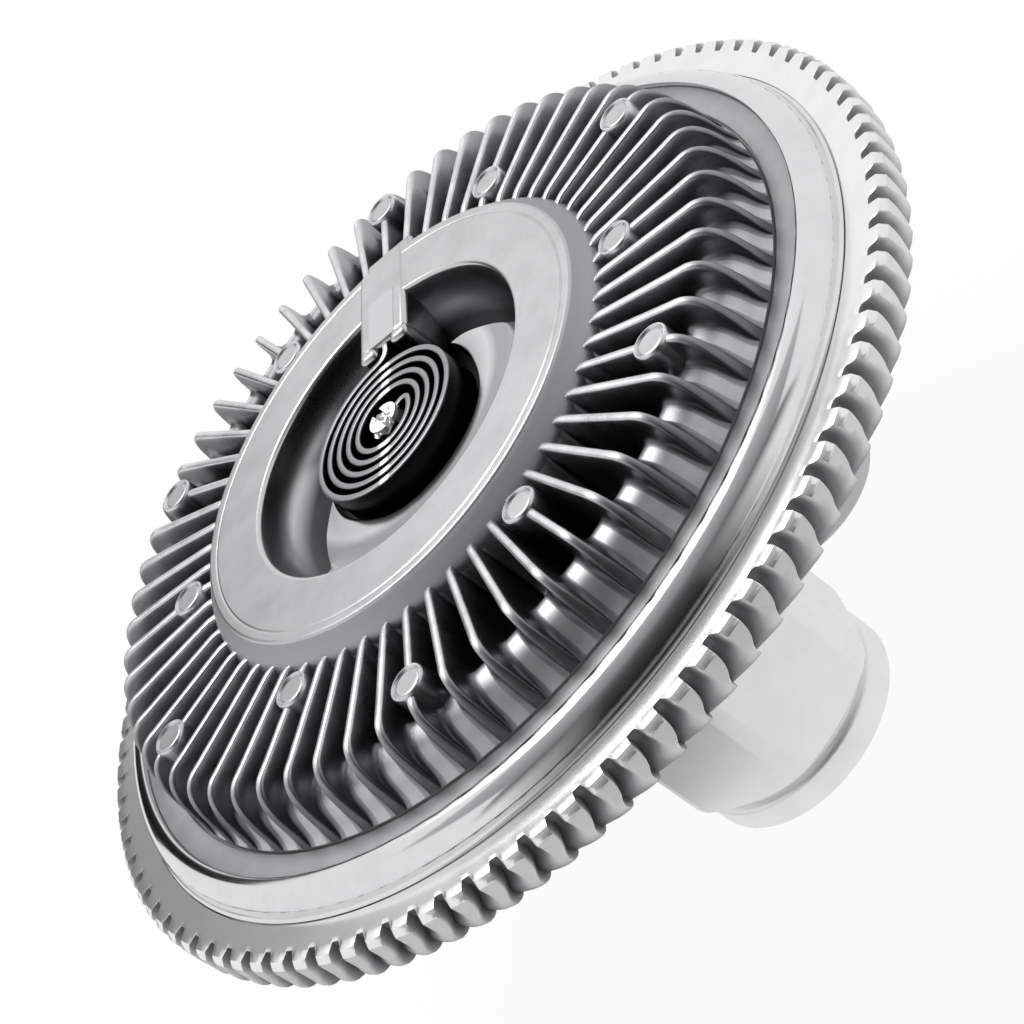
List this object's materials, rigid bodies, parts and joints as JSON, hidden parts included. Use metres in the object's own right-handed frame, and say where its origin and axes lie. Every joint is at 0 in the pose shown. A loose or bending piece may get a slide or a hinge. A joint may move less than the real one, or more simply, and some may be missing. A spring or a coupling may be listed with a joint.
{
  "type": "viscous fan clutch",
  "caption": "Viscous fan clutch: finned cast housing with a toothed rim and a bimetal coil in its front boss, turning on a bearing on a hexagon drive hub.",
  "frame": {"origin": "centre of the drive hub's rear end face", "axes": "+Z along the shaft axis towards the finned front, +Y towards the camera side of the picture"},
  "size_m": [0.21, 0.21, 0.1203],
  "materials": {
    "cast_aluminium": "as cast, with turned faces",
    "machined_steel": "turned and milled",
    "bimetal": "rolled strip",
    "sealant": "set filler, ground flush",
    "spring_steel": "bright strip",
    "bearing_steel": "ground",
    "brass_cage": "pressed",
    "rubber": "moulded"
  },
  "bodies": {
    "hub": {"drive_hub": "machined_steel", "clutch_rotor": "cast_aluminium", "bearing_inner_race": "bearing_steel"},
    "housing": {"rear_housing": "cast_aluminium", "front_cover": "cast_aluminium", "cover_seal": "rubber", "divider_plate": "spring_steel", "plate_rivets": "machined_steel", "wiper_block": "machined_steel", "bimetal_coil": "bimetal", "coil_anchor_insert": "sealant", "bearing_outer_race": "bearing_steel", "bearing_seal_front": "rubber", "bearing_seal_rear": "rubber", "bearing_retaining_ring": "spring_steel"},
    "valve": {"valve_shaft": "machined_steel", "valve_arm": "spring_steel", "valve_shaft_seal": "rubber", "valve_shaft_clip": "spring_steel"},
    "bearing_cage": {"bearing_cage_front": "brass_cage", "bearing_cage_rear": "brass_cage", "bearing_balls": "bearing_steel"}
  },
  "joints": [
    {"name": "housing_spin", "type": "hinge", "parent": "hub", "child": "housing", "pos_m": [0, 0, 0.068], "axis": [0, 0, 1], "continuous": true},
    {"name": "cage_spin", "type": "hinge", "parent": "hub", "child": "bearing_cage", "pos_m": [0, 0, 0.068], "axis": [0, 0, 1], "continuous": true},
    {"name": "valve_turn", "type": "hinge", "parent": "housing", "child": "valve", "pos_m": [0, 0, 0.1], "axis": [0, 0, 1], "range_deg": [0, 40], "deforming": ["bimetal_coil"]}
  ],
  "couplings": [
    {"joint": "cage_spin", "follows": "housing_spin", "ratio": 0.587}
  ]
}
